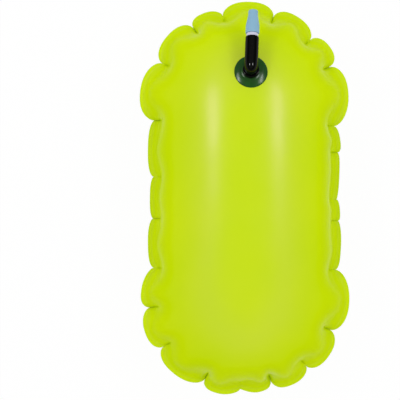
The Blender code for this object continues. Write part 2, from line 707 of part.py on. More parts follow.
def make_valve(front, centre, materials):
    """The valve stack on the front panel."""
    frame, tree = surface_frame("valve_axis", front, centre, VALVE_X, VALVE_PAST_SPINE, 1)
    frame.matrix_basis = frame.matrix_basis @ Matrix.Rotation(VALVE_LEAN, 4, "Y")
    make_flange(frame, tree, materials["green"])
    make_collar(frame, materials["black"])
    make_neck_ring(frame, materials["rubber"])
    elbow = add_frame("elbow_axis", Matrix.Rotation(TUBE_HEADING, 4, "Z"), frame)
    make_elbow(elbow, materials["black"])
    hole = [(0, -OVERRUN), (AIR_HOLE_RADIUS, -OVERRUN), (AIR_HOLE_RADIUS, OVERRUN), (0, OVERRUN)]
    cut(front, add_object("air_hole", lathe(hole, INNER_SIDES), materials["yellow"], frame))
    turn = Matrix.Translation((0, 0, TUBE_HEIGHT)) @ Matrix.Rotation(-math.pi / 2, 4, "X")
    tube = add_frame("tube_axis", turn, elbow)
    core_top, shoulder, sleeve_low = make_core(TUBE_LENGTH, tube, materials)
    make_mouthpiece(core_top, shoulder, tube, materials)
    pocket = TUBE_LENGTH - POCKET_DEPTH
    make_check_valve(pocket + SEAT_GAP, sleeve_low - SEAT_GAP, tube, materials)


def make_tow_point(back, centre, materials):
    """The pad, webbing loop and ring on the back panel."""
    frame, tree = surface_frame("tow_face", back, centre, 0, -TOW_PAST_SPINE, -1)
    make_tow_pad(frame, tree, materials["yellow"])
    bar_y, bar_z = make_tow_loop(frame, materials["webbing"])
    pivot = add_frame("tow_ring_axis", Matrix.Translation(frame.matrix_basis @ Vector((0, bar_y, bar_z))))
    make_tow_ring(pivot, materials["black"])


def main():
    for old in list(bpy.data.objects):
        bpy.data.objects.remove(old)
    materials = {
        "yellow": make_material("yellow_film", (0.56, 0.74, 0.01), 0.3),
        "green": make_material("green_flange", (0.02, 0.07, 0.01), 0.15),
        "black": make_material("black_gloss", (0.005, 0.006, 0.005), 0.15),
        "white": make_material("white_plastic", (0.6, 0.6, 0.72), 0.4),
        "blue": make_material("blue_plastic", (0.23, 0.42, 0.57), 0.5),
        "rubber": make_material("black_rubber", (0.01, 0.01, 0.01), 0.6),
        "steel": make_material("spring_steel", (0.5, 0.5, 0.5), 0.3, 1),
        "webbing": make_material("black_webbing", (0.012, 0.012, 0.012), 0.8),
    }
    front, back, centre = make_bag(materials)
    make_valve(front, centre, materials)
    make_tow_point(back, centre, materials)


main()
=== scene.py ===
"""Looks of the open water swim buoy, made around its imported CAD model.

Metres, +Z out of the front film and +Y towards the valve. The bag lies on its rear film.
"""

import json
import math

import bmesh
import bpy
import numpy as np
from mathutils import Matrix, Vector, noise
from mathutils.bvhtree import BVHTree


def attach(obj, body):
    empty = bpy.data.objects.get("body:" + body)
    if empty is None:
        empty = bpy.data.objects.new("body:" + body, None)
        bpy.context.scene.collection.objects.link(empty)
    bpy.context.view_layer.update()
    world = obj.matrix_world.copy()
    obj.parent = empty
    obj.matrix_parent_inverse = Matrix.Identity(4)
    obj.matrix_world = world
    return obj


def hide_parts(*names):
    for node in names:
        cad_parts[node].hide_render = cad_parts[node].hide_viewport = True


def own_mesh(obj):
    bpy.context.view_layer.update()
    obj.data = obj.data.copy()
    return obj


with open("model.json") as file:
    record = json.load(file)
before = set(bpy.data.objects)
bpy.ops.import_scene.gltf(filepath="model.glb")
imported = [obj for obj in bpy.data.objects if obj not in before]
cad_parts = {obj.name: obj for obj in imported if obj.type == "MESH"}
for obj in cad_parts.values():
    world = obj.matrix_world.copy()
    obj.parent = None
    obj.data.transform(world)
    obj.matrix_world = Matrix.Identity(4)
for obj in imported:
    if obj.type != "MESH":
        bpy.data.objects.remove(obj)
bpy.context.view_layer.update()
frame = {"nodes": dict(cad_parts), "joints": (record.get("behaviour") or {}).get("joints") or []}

MM = 0.001
TAU = 2 * math.pi

# The bag's film, as distances out from its spine and heights over its seam
SPINE_LENGTH = 251 * MM
NOTCH_RADIUS = 123 * MM
DOME_RADIUS = 117 * MM
HALF_DEPTH = 86 * MM
LENGTHWISE_ROUNDNESS = 2.7
REST_PATCH_LENGTH = 60 * MM
CROWN_BLEND = 0.044
FILM = 0.5 * MM
SEAM_HEIGHT = 86.65 * MM
SEAM_GAP = 0.01 * MM
WELD_WIDTH = 5.5 * MM
WELD_FADE = 0.7
WALL_INSET = 4.5 * MM
INSET_FADE = 12
LOBE_REACH = 15.5 * MM
NOTCH_SHARE = 0.09
SEAM_WAVE = 2.6 * MM
WALL_SCALLOP = 0.3 * MM
LOBE_FADE = 13
CREASE_FADE = 120
REST_CAP = 87.2 * MM
REST_REACH = 45 * MM
REST_BLEND = 0.35 * MM
PUCKER_SHARES = (
    0.03, 0.0755, 0.1105, 0.1735, 0.201, 0.25, 0.2725, 0.3235, 0.3875, 0.4325, 0.4725,
    0.505, 0.5425, 0.596, 0.6375, 0.6785, 0.73, 0.7735, 0.8325, 0.8935, 0.943, 0.9765,
)
PUCKER_REACH_SHARES = (
    0.1, 0.05, 0.1, -0.2, 0.1, 0, 0.15, -0.1, 0.1, 0.25, -0.1,
    0.35, 0.3, 0.5, 0.4, 0, 0.05, 0, -0.05, 0.1, 0.15, 0.05,
)
LOBE_SHARES = (
    0.84, 0.85, 1.06, 0.3, 0.13, 0.15, 0.3, 1.06, 0.88, 0.84, 0.55,
    0.65, 0.88, 0.85, 0.77, 0.4, 0.23, 0.45, 1.15, 0.9, 0.65, 0.9,
)
LEAN_SHARES = (
    0.15, -0.1, 0.1, -0.2, 0.6, 0, -0.4, 0, 0, -0.3, 0.95,
    -0.6, -0.2, 0.2, 0.45, 0.1, 0, 0.1, 0.2, 0, 0.3, -0.1,
)
CAD_LOBE_SHARES = (0, 0.1, 0.35, 0.65, 0.9)
LOBE_ROUNDNESS = 2.6
LOBE_STEEPNESS = 0.6
LOBE_COLUMNS = 18
COLUMN_GAP = 0.0003
WALL_ANGLES = np.radians(np.arange(5, 46, 4))
WALL_TOP = math.radians(45)
WALL_ROWS = 34
WALL_CROWDING = 1.3
DOME_ROWS = 24
SOFTENING = 3 * MM
SAMPLE = 0.6 * MM
PUCKER_HEIGHT = 9 * MM
WRINKLE = 0.35 * MM
WRINKLE_WIDTH = 8 * MM
WRINKLE_HEIGHT = 40 * MM
WRINKLE_TOP = 60 * MM
WRINKLE_SEED = 7
SAG = 0.3 * MM
SAG_WIDTH = 55 * MM
SAG_RISE = 40 * MM
SAG_SEED = 9

# The valve, along its own axis, and its tube, along the tube's
TUBE_RISE = 23 * MM
BEND_RADIUS = 9.2 * MM
TUBE_LENGTH = 38.6 * MM
TUBE_RADIUS = 8.6 * MM
CORNER_ROUNDING = 8.9 * MM
FOOT_RADIUS = 9.4 * MM
FOOT_LOW = 3.2 * MM
FOOT_TOP = 5 * MM
NECK_RADIUS = 6.7 * MM
NECK_TOP = 10.8 * MM
AIRWAY_RADIUS = 5.2 * MM
POCKET_RADIUS = 6.6 * MM
POCKET_DEPTH = 19.6 * MM
CORE_DEPTH = 3.15 * MM
CORE_BORE = 2.8 * MM
CORE_STEM_RADIUS = 4.8 * MM
CORE_COLLAR_RADIUS = 7.4 * MM
CORE_COLLAR_HEIGHT = 4 * MM
CORE_STEM_LENGTH = 17 * MM
CORE_END_WALL = 1.2 * MM
PLUG_HEIGHT = 3.2 * MM
RUNNING_GAP = 0.3 * MM
PART_LINE = 0.1 * MM
SPRING_LOW = 21.4 * MM
SPRING_HIGH = 30.1 * MM
SPRING_RADIUS = 3.1 * MM
SPRING_WIRE = 0.3 * MM
SPRING_TURNS = 4

# The tow point on the rear film
TOW_PAD_RADIUS = 22 * MM
TOW_PAD_THICKNESS = 1.2 * MM
WEBBING_WIDTH = 20 * MM
WEBBING_THICKNESS = 1.4 * MM
WEBBING_RUN = 20 * MM
WEBBING_GAP = 0.3 * MM
WEBBING_EYE = 3 * MM
SELVEDGE = 0.45 * MM
STITCH_PITCH = 2.1 * MM
RING_HALF_THICKNESS = 1.8 * MM
RING_FLAT = 1.05 * MM
RING_SIDE_GAP = 1.5 * MM
RING_OPENING = 14 * MM
BAR_CORNER = 3 * MM
BOW_CORNER = 6 * MM
FLAT_ENOUGH = math.cos(math.radians(1))

# The studio. The dome's light is given as (height on the dome, strength).
WHITE = (1, 1, 1, 1)
DOME_LIGHT = ((0, 0.44), (0.3, 0.66), (0.55, 0.66), (0.79, 1.8), (0.92, 0.35))
MIRRORED = 0.05
MIRRORED_RISE = 0.1
FLOOR_WHITENESS = 0.965
CAMERA_PLACE = (-0.0591, -0.0023, 2.087)
CAMERA_LENS = 135

# How finely the pieces are made, and how deep the welded ones are sunk into the film
SIDES = 96
FINE_SIDES = 64
MERGE = 0.001 * MM
FIRM_SHARE = 0.06
BEND_CUTS = 16
LEG_CUTS = 3
ARM_CUTS = 11
TUBE_CUT = 2.5 * MM
SPRING_CUTS = 28
CORNER_CUTS = 8
SINK = 0.1 * MM


# Finishes


def add_node(tree, kind, links=None, **settings):
    """A node with its settings, its sockets' values and the links into it."""
    node = tree.nodes.new(kind)
    for name, value in settings.items():
        setattr(node, name, value)
    for socket, value in (links or {}).items():
        if hasattr(value, "node"):
            tree.links.new(value, node.inputs[socket])
        else:
            node.inputs[socket].default_value = value
    return node


def maths(tree, operation, *values):
    return add_node(tree, "ShaderNodeMath", dict(enumerate(values)), operation=operation).outputs["Value"]


def mixed(tree, share, first, second):
    """The first shader, passing to the second as the share grows."""
    return add_node(tree, "ShaderNodeMixShader", {"Fac": share, 1: first, 2: second}).outputs[0]


class Finish:
    """A Principled material that is built up node by node."""

    def __init__(self, name, colour, roughness, **constants):
        self.material = bpy.data.materials.new(name)
        self.material.use_nodes = True
        self.tree = self.material.node_tree
        self.shader = self.tree.nodes["Principled BSDF"]
        self.shader.inputs["Base Color"].default_value = (*colour, 1)
        self.shader.inputs["Roughness"].default_value = roughness
        self.material.diffuse_color = (*colour, 1)
        for socket, value in constants.items():
            self.shader.inputs[socket.replace("_", " ")].default_value = value
        self.place = self.add("ShaderNodeTexCoord").outputs["Object"]
        self.bumps = None

    def add(self, kind, links=None, **settings):
        return add_node(self.tree, kind, links, **settings)

    def stretched(self, scale):
        """The pattern's place, stretched, in the piece's own metres."""
        return self.add("ShaderNodeMapping", {"Vector": self.place, "Scale": scale}).outputs["Vector"]

    def noise(self, scale, detail=3, rough=0.5, source=None):
        links = {"Vector": source or self.place, "Scale": scale, "Detail": detail, "Roughness": rough}
        return self.add("ShaderNodeTexNoise", links).outputs["Fac"]

    def span(self, value, low, high, to_low=0, to_high=1, smooth=False):
        """The value, carried from one span to another and held at its ends."""
        links = {"Value": value, "From Min": low, "From Max": high, "To Min": to_low, "To Max": to_high}
        kind = "SMOOTHSTEP" if smooth else "LINEAR"
        return self.add("ShaderNodeMapRange", links, interpolation_type=kind).outputs["Result"]

    def maths(self, operation, *values):
        return maths(self.tree, operation, *values)

    def tint(self, share, first, second):
        """The first colour, passing to the second as the share grows."""
        node = self.add("ShaderNodeMix", data_type="RGBA")
        for socket, value in (("Factor", share), ("A", first), ("B", second)):
            target = next(s for s in node.inputs if s.name == socket and s.enabled)
            if hasattr(value, "node"):
                self.tree.links.new(value, target)
            else:
                target.default_value = (*value, 1) if isinstance(value, tuple) else value
        return next(s for s in node.outputs if s.enabled)

    def attribute(self, name):
        return self.add("ShaderNodeAttribute", attribute_name=name).outputs["Fac"]

    def bump(self, height, distance, strength=1):
        """Raises the surface by a pattern, over the patterns that are there already."""
        links = {"Height": height, "Distance": distance, "Strength": strength}
        if self.bumps:
            links["Normal"] = self.bumps
        self.bumps = self.add("ShaderNodeBump", links).outputs["Normal"]
        self.tree.links.new(self.bumps, self.shader.inputs["Normal"])

    def drive(self, socket, value):
        self.tree.links.new(value, self.shader.inputs[socket])


def film_finish():
    """Satin air-tight film: fine grain, faint cloudiness, and the pressed weld round its edge.

    It shines where it faces the viewer, and its sides stay matt but for a thin rim of gloss.
    """
    film = Finish(
        "buoy_film", (0.56, 0.745, 0.002), 0.22, Specular_IOR_Level=0.25, Specular_Tint=(1, 0.45, 1, 1)
    )
    turned_away = film.add("ShaderNodeLayerWeight", {"Blend": 0.5}).outputs["Facing"]
    weld = film.attribute("weld")
    sheen = film.span(turned_away, 0.05, 0.36, 0.6, 0, smooth=True)
    rim = film.span(turned_away, 0.36, 0.85, 0, 0.06, smooth=True)
    gloss = film.maths("MULTIPLY", film.maths("ADD", sheen, rim), film.span(weld, 0, 1, 1, 0.1))
    film.drive("Specular IOR Level", gloss)
    pucker = film.attribute("pucker")
    cloud = film.noise(9, 3)
    body = film.tint(film.span(cloud, 0.35, 0.65), (0.56, 0.745, 0.0015), (0.59, 0.76, 0.0025))
    welded = film.tint(weld, body, (0.57, 0.75, 0.001))
    # Painted shade: the film's colour turns greyer and darker in the puckers near the seam.
    painted_crease_shade = film.tint(film.span(pucker, 0.55, 1, 0, 0.3), welded, (0.5, 0.5, 0.06))
    film.drive("Base Color", painted_crease_shade)
    grain = film.noise(1400, 2)
    smudge = film.noise(28, 4)
    roughness = film.span(smudge, 0.3, 0.7, 0.23, 0.27)
    film.drive("Roughness", film.maths("ADD", roughness, film.maths("MULTIPLY", weld, 0.06)))
    film.bump(grain, 0.00001, 0.5)
    film.bump(film.noise(60, 2), 0.0004, 0.25)
    sheet = film.add("ShaderNodeUVMap", uv_map="sheet").outputs["UV"]
    ribs = film.add(
        "ShaderNodeTexWave",
        {"Vector": sheet, "Scale": 260, "Distortion": 0},
        wave_type="BANDS", bands_direction="DIAGONAL", wave_profile="SIN",
    ).outputs["Fac"]
    film.bump(film.maths("MULTIPLY", ribs, weld), 0.00008, 0.5)
    return film.material


def flange_finish():
    """Glossy dark green soft moulding with a faint swirl in its colour."""
    green = Finish("green_moulding", (0.018, 0.068, 0.012), 0.12, Specular_IOR_Level=0.9)
    swirl = green.noise(90, 3)
    green.drive("Base Color", green.tint(swirl, (0.008, 0.058, 0.004), (0.016, 0.1, 0.009)))
    green.drive("Roughness", green.span(green.noise(240, 3), 0.3, 0.7, 0.18, 0.26))
    green.bump(green.noise(500, 2), 0.00002, 0.4)
    green.bump(green.noise(120, 1), 0.0002, 0.15)
    return green.material


def gloss_finish():
    """Glossy black moulding with faint flow marks and fine handling scuffs."""
    black = Finish("black_moulding", (0.006, 0.007, 0.006), 0.14, Specular_IOR_Level=0.15)
    flow = black.noise(60, 4, source=black.stretched((1, 0.25, 1)))
    black.drive("Base Color", black.tint(flow, (0.0015, 0.0016, 0.0016), (0.0035, 0.0034, 0.003)))
    scuffs = black.noise(380, 5, 0.7, black.stretched((1, 0.12, 1)))
    black.drive("Roughness", black.span(scuffs, 0.5, 0.8, 0.04, 0.1))
    turned_away = black.add("ShaderNodeLayerWeight", {"Blend": 0.5}).outputs["Facing"]
    black.drive("Specular IOR Level", black.span(turned_away, 0.07, 0.17, 1, 0.06))
    black.bump(black.noise(700, 2), 0.00001, 0.3)
    black.bump(flow, 0.00015, 0.12)
    return black.material


def mouthpiece_finish():
    """Matte light blue moulding with a spark-eroded grain."""
    blue = Finish("blue_moulding", (0.235, 0.435, 0.59), 0.55, Specular_IOR_Level=0.35)
    cloud = blue.noise(120, 3)
    blue.drive("Base Color", blue.tint(cloud, (0.222, 0.42, 0.575), (0.25, 0.452, 0.606)))
    blue.drive("Roughness", blue.span(blue.noise(420, 3), 0.3, 0.7, 0.48, 0.64))
    blue.bump(blue.noise(2600, 2), 0.00002, 0.6)
    return blue.material


def white_finish():
    """Off-white satin moulding with a lilac cast."""
    white = Finish("white_moulding", (0.6, 0.6, 0.74), 0.38)
    cloud = white.noise(150, 3)
    white.drive("Base Color", white.tint(cloud, (0.57, 0.565, 0.7), (0.64, 0.635, 0.77)))
    white.drive("Roughness", white.span(white.noise(600, 3), 0.3, 0.7, 0.32, 0.46))
    white.bump(white.noise(1500, 2), 0.00001, 0.5)
    return white.material


def rubber_finish():
    rubber = Finish("black_rubber_seal", (0.012, 0.012, 0.012), 0.55)
    dust = rubber.noise(500, 4)
    rubber.drive("Base Color", rubber.tint(dust, (0.009, 0.009, 0.009), (0.02, 0.02, 0.019)))
    rubber.drive("Roughness", rubber.span(dust, 0.3, 0.7, 0.48, 0.68))
    rubber.bump(dust, 0.00003, 0.5)
    return rubber.material


def spring_finish():
    steel = Finish("drawn_spring_wire", (0.5, 0.5, 0.5), 0.28, Metallic=1)
    drawn = steel.noise(900, 3, source=steel.stretched((1, 1, 6)))
    steel.drive("Base Color", steel.tint(drawn, (0.44, 0.44, 0.45), (0.56, 0.56, 0.55)))
    steel.drive("Roughness", steel.span(drawn, 0.3, 0.7, 0.2, 0.36))
    steel.bump(drawn, 0.00001, 0.4)
    return steel.material


def webbing_finish():
    """Black nylon webbing: a plain weave of flat yarns that follows the strap."""
    webbing = Finish(
        "black_webbing_weave", (0.014, 0.014, 0.015), 0.75, Sheen_Weight=0.35, Sheen_Roughness=0.4
    )
    strap = webbing.add("ShaderNodeUVMap", uv_map="strap").outputs["UV"]
    place = webbing.add("ShaderNodeSeparateXYZ", {"Vector": strap})
    waves = []
    for axis, pitch in (("X", 1.25 * MM), ("Y", 0.9 * MM)):
        turns = webbing.maths("MULTIPLY", place.outputs[axis], TAU / pitch / 2)
        waves.append(webbing.maths("SINE", turns))
    over = webbing.maths("MULTIPLY", waves[0], waves[1])
    yarn = webbing.maths("ABSOLUTE", over)
    webbing.drive("Base Color", webbing.tint(yarn, (0.005, 0.005, 0.006), (0.024, 0.024, 0.026)))
    webbing.drive("Roughness", webbing.span(over, -1, 1, 0.6, 0.85))
    webbing.bump(yarn, 0.00025, 0.8)
    webbing.bump(webbing.noise(3000, 3), 0.00005, 0.5)
    return webbing.material


def thread_finish():
    thread = Finish("black_stitching", (0.02, 0.02, 0.021), 0.6)
    twist = thread.noise(2500, 2)
    thread.drive("Base Color", thread.tint(twist, (0.012, 0.012, 0.013), (0.035, 0.035, 0.037)))
    thread.drive("Roughness", thread.span(twist, 0.3, 0.7, 0.5, 0.7))
    thread.bump(twist, 0.00005, 0.6)
    return thread.material


# Making pieces


def add_piece(name, bm, material, body, slot, *stands_for, sharp=math.radians(32)):
    """Finishes a piece: it rides on a body and stands for CAD nodes."""
    mesh = bpy.data.meshes.new(name)
    bm.to_mesh(mesh)
    bm.free()
    mesh.shade_smooth()
    mesh.set_sharp_from_angle(angle=sharp)
    mesh.materials.append(material)
    piece = bpy.data.objects.new(name, mesh)
    bpy.context.scene.collection.objects.link(piece)
    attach(piece, body)
    if stands_for:
        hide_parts(*stands_for)
    return piece


def eased(corners, steps=5):
    """A closed outline with its corners rounded. Corners are (radius, height, rounding)."""
    points = []
    for index, (radius, height, rounding) in enumerate(corners):
        corner = Vector((radius, height))
        if rounding == 0:
            points.append(corner)
            continue
        before = Vector(corners[index - 1][:2])
        after = Vector(corners[(index + 1) % len(corners)][:2])
        start = corner + (before - corner).normalized() * rounding
        end = corner + (after - corner).normalized() * rounding
        points.append(start.lerp(before, FIRM_SHARE))
        for step in range(steps):
            share = step / (steps - 1)
            points.append(start.lerp(corner, share).lerp(corner.lerp(end, share), share))
        points.append(end.lerp(after, FIRM_SHARE))
    return points


def turned(outline, sides):
    """Turns an outline of (radius, height) about Z. One that leaves the axis clear is closed up."""
    bm = bmesh.new()
    points = [bm.verts.new((radius, 0, height)) for radius, height in outline]
    following = points[1:]
    if min(radius for radius, height in outline) > 0:
        following = following + points[:1]
    edges = [bm.edges.new(pair) for pair in zip(points, following)]
    bmesh.ops.spin(
        bm, geom=points + edges, cent=(0, 0, 0), axis=(0, 0, 1), angle=TAU, steps=sides, use_merge=True
    )
    bmesh.ops.remove_doubles(bm, verts=bm.verts, dist=MERGE)
    bmesh.ops.recalc_face_normals(bm, faces=bm.faces)
    return bm


def put(bm, matrix):
    bmesh.ops.transform(bm, matrix=matrix, verts=bm.verts)
    return bm


def own_frame(across, forward, out, spot):
    matrix = Matrix((across, forward, out)).transposed().to_4x4()
    matrix.translation = spot
    return matrix


# The bag


def outline_place(share):
    """The point of the spine that a share of the way round belongs to, and the direction out from it."""
    end_arc = NOTCH_RADIUS * math.pi
    half = SPINE_LENGTH + end_arc
    halves, along = divmod(share % 1 * 2 * half + end_arc / 2, half)
    flip = -1 if halves % 2 else 1
    if along < end_arc:
        angle = math.pi - along / NOTCH_RADIUS
        return Vector((0, flip * SPINE_LENGTH / 2)), flip * Vector((math.cos(angle), math.sin(angle)))
    return Vector((0, flip * (SPINE_LENGTH / 2 - along + end_arc))), Vector((flip, 0))


def outline_column(index, share):
    """A column of the film at a share of a lobe: spine point, direction, reaches, fullness, wave, place."""
    start = PUCKER_SHARES[index]
    after = (index + 1) % len(PUCKER_SHARES)
    width = (PUCKER_SHARES[after] - start) % 1
    base = PUCKER_REACH_SHARES[index]
    climb = PUCKER_REACH_SHARES[after] - base
    lift = SEAM_WAVE if index % 2 else -SEAM_WAVE
    leant = share + LEAN_SHARES[index] * share * (1 - share)
    fullness = (1 - abs(2 * leant - 1) ** LOBE_ROUNDNESS) ** LOBE_STEEPNESS
    wave = (1 - fullness) * math.copysign(lift, lift * (1 - 2 * leant))
    notch = NOTCH_SHARE * (1 - fullness) ** 2
    reach = LOBE_REACH * (base + climb * share + LOBE_SHARES[index] * fullness - notch)
    roundness = math.sin(math.pi * leant) ** 2
    soft = LOBE_REACH * (base + climb * share + LOBE_SHARES[index] * roundness)
    round_share = (start + share * width) % 1
    spot, out = outline_place(round_share)
    return spot, out, reach, soft, fullness, wave, round_share


def lobe_of(round_share):
    """The lobe that a share of the way round falls in, and the share of that lobe."""
    for index, start in enumerate(PUCKER_SHARES):
        width = (PUCKER_SHARES[(index + 1) % len(PUCKER_SHARES)] - start) % 1
        if (round_share - start) % 1 < width:
            return index, (round_share - start) % 1 / width


def film_columns():
    """Columns that crowd towards the puckers, at the same places along the spine on both long sides."""
    wanted = list(PUCKER_SHARES)
    for step in range(1, LOBE_COLUMNS):
        for index, start in enumerate(PUCKER_SHARES):
            width = (PUCKER_SHARES[(index + 1) % len(PUCKER_SHARES)] - start) % 1
            wanted.append((start + width * (1 - math.cos(math.pi * step / LOBE_COLUMNS)) / 2) % 1)
    kept = []
    for share in wanted:
        for place in (share, (1 - share) % 1):
            near = (min(abs(place - other), 1 - abs(place - other)) for other in kept)
            if min(near, default=1) > COLUMN_GAP:
                kept.append(place)
    return [outline_column(*lobe_of(share)) for share in sorted(kept)]


def outline_centre():
    """The middle of the CAD outline's box, which the part is centred on."""
    edge = []
    for index in range(len(PUCKER_SHARES)):
        for share in CAD_LOBE_SHARES:
            spot, out, reach = outline_column(index, share)[:3]
            edge.append(spot + out * (NOTCH_RADIUS + reach))
    across = [point.x for point in edge]
    along = [point.y for point in edge]
    return Vector(((min(across) + max(across)) / 2, (min(along) + max(along)) / 2))


def softened(line, width):
    """A line of evenly spaced points, with its corners softened over a width and its ends kept."""
    reach = int(3 * width / SAMPLE)
    weights = np.exp(-0.5 * (np.arange(-reach, reach + 1) * SAMPLE / width) ** 2)
    weights /= weights.sum()
    head = 2 * line[0] - line[reach:0:-1]
    tail = 2 * line[-1] - line[-2:-reach - 2:-1]
    long = np.concatenate((head, line, tail))
    return np.stack([np.convolve(long[:, axis], weights, "valid") for axis in (0, 1)], axis=1)


def evenly(line, shares=None):
    """The points at these shares of a line's length, or one at every sample's distance."""
    steps = np.hypot(*np.diff(line, axis=0).T)
    along = np.concatenate(([0], np.cumsum(steps)))
    places = np.arange(0, along[-1], SAMPLE) if shares is None else shares * along[-1]
    return np.stack([np.interp(places, along, line[:, axis]) for axis in (0, 1)], axis=1)


def wall_points(angles, reach, soft, fullness):
    """The film's section at these angles up from the seam. The lobes and creases fade upwards."""
    across = np.cos(angles)
    sharp = across**CREASE_FADE
    lobe = (reach * sharp + soft * (1 - sharp)) * across**LOBE_FADE
    dent = WALL_SCALLOP * (1 - fullness) ** 2 * sharp + WALL_INSET * across**INSET_FADE
    return np.stack((DOME_RADIUS * across + lobe - dent, HALF_DEPTH * np.sin(angles)), axis=1)


def film_section(reach, soft, fullness, wave, resting):
    """One column of a film from the weld's edge to the spine, as (distance out, height over the seam)."""
    edge = NOTCH_RADIUS + reach
    weld = edge - WELD_WIDTH
    wall = wall_points(WALL_ANGLES, reach, soft, fullness)
    line = np.concatenate((((edge, wave), (weld, wave)), wall))
    wall = softened(evenly(line), SOFTENING)
    wall[0], wall[-1] = line[0], line[-1]
    wall = evenly(wall, np.linspace(0, 1, WALL_ROWS + 1) ** WALL_CROWDING)
    angles = WALL_TOP + (math.pi / 2 - WALL_TOP) * np.arange(1, DOME_ROWS + 1) / DOME_ROWS
    dome = wall_points(angles, reach, soft, fullness)
    dome[-1] = 0, HALF_DEPTH
    section = np.concatenate((wall, dome))
    if resting:
        cap = REST_CAP * np.sqrt(np.clip(1 - (section[:, 0] / DOME_RADIUS) ** 2, 0, 1))
        spare = (cap - HALF_DEPTH) / REST_BLEND
        rested = HALF_DEPTH - REST_BLEND * np.log1p(np.exp(-np.clip(spare, -30, 30)))
        section[:, 1] = np.where(section[:, 0] < REST_REACH, np.minimum(cap, rested), section[:, 1])
    return section


def crown_share(along):
    """How high the bag stands at a place along it, as a share of what its section alone would give."""
    flat = REST_PATCH_LENGTH / 2
    end = SPINE_LENGTH / 2 + DOME_RADIUS
    if abs(along) >= end:
        return 1
    fall = (max(abs(along) - flat, 0) / (end - flat)) ** LENGTHWISE_ROUNDNESS
    swell = (1 - fall) ** (1 / LENGTHWISE_ROUNDNESS)
    past = abs(along) - SPINE_LENGTH / 2
    if past <= 0:
        return swell
    share = swell / math.sqrt(1 - (past / DOME_RADIUS) ** 2)
    near = max(CROWN_BLEND - abs(share - 1), 0)
    return min(share, 1) - near**2 / (4 * CROWN_BLEND)


def lay_film(name, node, side, centre, material):
    """One film of the bag: a flat sheet laid row by row over the inflated form, then thickened outwards."""
    columns = film_columns()
    around = 2 * (SPINE_LENGTH + math.pi * NOTCH_RADIUS)
    sections = [
        film_section(reach, soft, fullness, side * wave, side < 0)
        for spot, out, reach, soft, fullness, wave, share in columns
    ]
    rows = WALL_ROWS + DOME_ROWS
    bm = bmesh.new()
    sheet = bm.loops.layers.uv.new("sheet")
    welded = bm.verts.layers.float.new("weld")
    puckered = bm.verts.layers.float.new("pucker")
    bmesh.ops.create_grid(bm, x_segments=len(columns), y_segments=rows, size=1)
    for vert in bm.verts:
        column = round((vert.co.x + 1) / 2 * len(columns)) % len(columns)
        row = round((vert.co.y + 1) / 2 * rows)
        spot, out, reach, soft, fullness, wave, share = columns[column]
        distance, height = sections[column][row]
        for loop in vert.link_loops:
            far = vert.co.x > 0.999
            loop[sheet].uv = ((1 if far else share) * around, distance)
        inside = (NOTCH_RADIUS + reach - distance - WELD_WIDTH) / WELD_WIDTH
        vert[welded] = min(max(WELD_FADE - inside, 0), 1)
        # The pucker mask is strongest in the creases at the seam, where the film's colour gets painted
        # shade.
        vert[puckered] = (1 - fullness) * math.exp(-max(0, height) / PUCKER_HEIGHT)
        rise = min(max(inside, 0), 1) * max(1 - height / WRINKLE_TOP, 0) ** 2
        wrinkles = Vector((share * around / WRINKLE_WIDTH, height / WRINKLE_HEIGHT, WRINKLE_SEED * side))
        distance += WRINKLE * rise * noise.noise(wrinkles)
        place = spot + out * distance
        cloud = noise.noise((place / SAG_WIDTH).to_3d() + Vector((0, 0, SAG_SEED * side)))
        lift = height * crown_share(place.y) + SAG * cloud * min(1, max(height, 0) / SAG_RISE)
        vert.co = (*(place - centre), SEAM_HEIGHT + side * (SEAM_GAP + lift))
    bmesh.ops.remove_doubles(bm, verts=bm.verts, dist=MERGE)
    if side > 0:
        bmesh.ops.reverse_faces(bm, faces=bm.faces)
    film = add_piece(name, bm, material, "bag", "yellow_film", node, sharp=math.radians(70))
    skin = film.modifiers.new("film", "SOLIDIFY")
    skin.thickness = FILM
    skin.offset = 1
    return film


def surface_of(piece):
    return BVHTree.FromObject(piece, bpy.context.evaluated_depsgraph_get())


def drape(verts, matrix, tree):
    """Sets each vertex, given in the matrix's frame, on the film under it, sunk into it a little."""
    inward = -matrix.to_3x3().col[2]
    for vert in verts:
        start = matrix @ Vector((vert.co.x, vert.co.y, DOME_RADIUS))
        hit = tree.ray_cast(start, inward)[0]
        vert.co.z += DOME_RADIUS - (hit - start).length - SINK


# The valve


def make_flange(axis, tree, material):
    """The welded flange: a thin lip, a shoulder that flattens inwards, and the pad under the collar."""
    bore, foot, steps = 4.2, 21.1, 14
    under = [(bore + (foot - bore) * step / steps, 0) for step in range(steps + 1)]
    outline = [Vector(point) * MM for point in under]
    outline += [
        Vector((radius * MM, height * MM))
        for radius, height in (
            (21.4, 0.1), (21.5, 0.3), (21.42, 0.5), (21.15, 0.66), (20.6, 0.86), (19.9, 1.09), (19.1, 1.33),
            (18.2, 1.57), (17.2, 1.8), (16.1, 2.01), (15, 2.17), (14, 2.28), (13.1, 2.35), (12.5, 2.4),
            (12.1, 2.46), (11.8, 2.55), (11.5, 2.67), (11.1, 2.76), (10.6, 2.78), (6.4, 2.6), (6.4, 8.6),
            (bore, 8.6),
        )
    ]
    bm = turned(outline, SIDES)
    beside_spigot = 6.5 * MM
    drape(
        [vert for vert in bm.verts if vert.co.xy.length > beside_spigot or vert.co.z < MM], axis, tree
    )
    return add_piece("weld_flange", put(bm, axis), material, "bag", "green_flange", "valve_flange")


def make_collar(axis, material):
    corners = [
        (9.7, 2.9, 0), (9.7, 5.3, 0), (8.9, 5.3, 0), (8.9, 8.9, 0.3), (10, 8.9, 0.45), (10.6, 8.1, 0.45),
        (10.6, 3.5, 0.3), (10.4, 2.9, 0.2),
    ]
    outline = eased([tuple(value * MM for value in corner) for corner in corners])
    bm = turned(outline, SIDES)
    return add_piece("retaining_collar", put(bm, axis), material, "bag", "black_gloss", "valve_collar")


